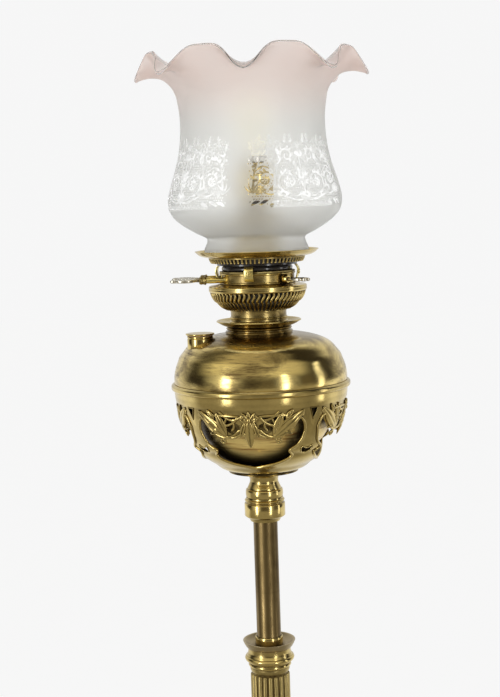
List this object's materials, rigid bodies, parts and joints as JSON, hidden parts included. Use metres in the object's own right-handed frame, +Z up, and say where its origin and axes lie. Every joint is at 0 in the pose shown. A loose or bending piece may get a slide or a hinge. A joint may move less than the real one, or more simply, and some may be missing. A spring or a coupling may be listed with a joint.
{
  "type": "telescopic floor oil lamp",
  "caption": "Telescopic brass floor lamp: reeded column, dish lock nut, pierced cradle with a round oil fount, duplex burner with lampholder, frilled frosted shade.",
  "frame": {"origin": "on the floor, at the middle of the square base", "axes": "+Z up along the column, -Y to the front, the wick winders towards -X"},
  "size_m": [0.29, 0.29, 1.5038],
  "materials": {
    "brass": "aged polish",
    "brushed_brass": "brushed, aged",
    "dull_brass": "dull",
    "tube_brass": "browned",
    "dish_brass": "satin",
    "iron": "rough",
    "black": "gloss",
    "ballast": "cast plaster",
    "cork": "matte",
    "cotton": "woven",
    "porcelain": "glazed",
    "nickel": "dull nickel",
    "opal_glass": "opal",
    "frosted_glass": "acid frosted, clear etched band"
  },
  "bodies": {
    "stand": {"foot_front_right": "brass", "foot_back_right": "brass", "foot_back_left": "brass", "foot_front_left": "brass", "base_plinth": "brass", "base_ballast": "ballast", "tie_washer": "iron", "tie_nut": "iron", "base_socle": "brass", "column_foot_ring": "brass", "column_reeded": "brass", "guide_tube": "dull_brass", "column_collar": "brass", "clamp_collet": "brass"},
    "lock": {"lock_dish": "dish_brass"},
    "riser": {"riser_tube": "tube_brass", "riser_stop": "dull_brass", "coupling_drum": "brass", "coupling_neck": "brass", "cradle": "brass", "cradle_screw": "dull_brass"},
    "fount": {"fount_bowl": "brass", "fount_dome": "brushed_brass", "burner_collar": "brass", "filler_tube": "brass"},
    "filler_seal": {"filler_gasket": "cork"},
    "filler_cap": {"filler_cap": "brass"},
    "burner_seal": {"burner_gasket": "cork"},
    "burner": {"burner_neck": "brass", "air_bowl": "brass", "cable_bush": "black", "deck_ring": "brass", "deck_plate": "dull_brass", "crown_ring": "black", "wick_tube_front": "dull_brass", "wick_tube_back": "dull_brass", "winder_sleeve_front": "brass", "winder_sleeve_back": "brass", "lever_bush": "brass", "adaptor_dome": "brass", "lampholder_body": "brass", "lampholder_sleeve": "brass", "lampholder_insulator": "porcelain", "contact_left": "brass", "contact_right": "brass"},
    "winder_front": {"winder_front": "brass"},
    "winder_back": {"winder_back": "brass"},
    "wick_front": {"wick_front": "cotton"},
    "wick_back": {"wick_back": "cotton"},
    "snuffer_lever": {"snuffer_lever": "brass"},
    "snuffer_hood": {"snuffer_hood": "dull_brass"},
    "bulb": {"bulb_cap": "nickel", "bulb_glass": "opal_glass"},
    "gallery": {"gallery_crown": "dull_brass", "gallery_tray": "brass", "gallery_clip_front": "brass", "gallery_clip_right": "brass", "gallery_clip_back": "brass", "gallery_clip_left": "brass"},
    "shade": {"shade_glass": "frosted_glass"}
  },
  "joints": [
    {"name": "lock_turn", "type": "hinge", "parent": "stand", "child": "lock", "pos_m": [0, 0, 0.93], "axis": [0, 0, 1], "range_deg": [0, 90]},
    {"name": "riser_slide", "type": "slide", "parent": "stand", "child": "riser", "axis": [0, 0, 1], "range_m": [-0.113, 0.44]},
    {"name": "fount_lift", "type": "slide", "parent": "riser", "child": "fount", "axis": [0, 0, 1], "range_m": [0, 0.18]},
    {"name": "filler_rise", "type": "slide", "parent": "fount", "child": "filler_seal", "axis": [0, 0, 1], "range_m": [0, 0.0045]},
    {"name": "filler_turn", "type": "hinge", "parent": "filler_seal", "child": "filler_cap", "pos_m": [-0.05651, -0.01514, 1.236], "axis": [0, 0, 1], "range_deg": [0, 1080]},
    {"name": "burner_rise", "type": "slide", "parent": "fount", "child": "burner_seal", "axis": [0, 0, 1], "range_m": [0, 0.00539]},
    {"name": "burner_turn", "type": "hinge", "parent": "burner_seal", "child": "burner", "pos_m": [0, 0, 1.2459], "axis": [0, 0, 1], "range_deg": [0, 1080]},
    {"name": "winder_front_turn", "type": "hinge", "parent": "burner", "child": "winder_front", "pos_m": [-0.04, -0.016, 1.2881], "axis": [1, 0, 0], "range_deg": [-70, 70]},
    {"name": "winder_back_turn", "type": "hinge", "parent": "burner", "child": "winder_back", "pos_m": [-0.04, 0.016, 1.2881], "axis": [-1, 0, 0], "range_deg": [-70, 70]},
    {"name": "wick_front_slide", "type": "slide", "parent": "burner", "child": "wick_front", "axis": [0, 0, 1], "range_m": [-0.0073, 0.0073]},
    {"name": "wick_back_slide", "type": "slide", "parent": "burner", "child": "wick_back", "axis": [0, 0, 1], "range_m": [-0.0073, 0.0073]},
    {"name": "snuffer_turn", "type": "hinge", "parent": "burner", "child": "snuffer_lever", "pos_m": [0.02894, -0.0318, 1.2881], "axis": [0.673, -0.7396, 0], "range_deg": [0, 60]},
    {"name": "snuffer_lift", "type": "slide", "parent": "burner", "child": "snuffer_hood", "axis": [0, 0, 1], "range_m": [0, 0.00625]},
    {"name": "bulb_lift", "type": "slide", "parent": "burner", "child": "bulb", "axis": [0, 0, 1], "range_m": [0, 0.03]},
    {"name": "gallery_lift", "type": "slide", "parent": "burner", "child": "gallery", "axis": [0, 0, 1], "range_m": [0, 0.06]},
    {"name": "shade_lift", "type": "slide", "parent": "gallery", "child": "shade", "axis": [0, 0, 1], "range_m": [0, 0.22]}
  ],
  "couplings": [
    {"joint": "filler_turn", "follows": "filler_rise", "rad_per_m": 4184.1},
    {"joint": "burner_turn", "follows": "burner_rise", "rad_per_m": 3496.5},
    {"joint": "winder_front_turn", "follows": "wick_front_slide", "rad_per_m": 166.67},
    {"joint": "winder_back_turn", "follows": "wick_back_slide", "rad_per_m": 166.67},
    {"joint": "snuffer_turn", "follows": "snuffer_lift", "rad_per_m": 166.67}
  ]
}
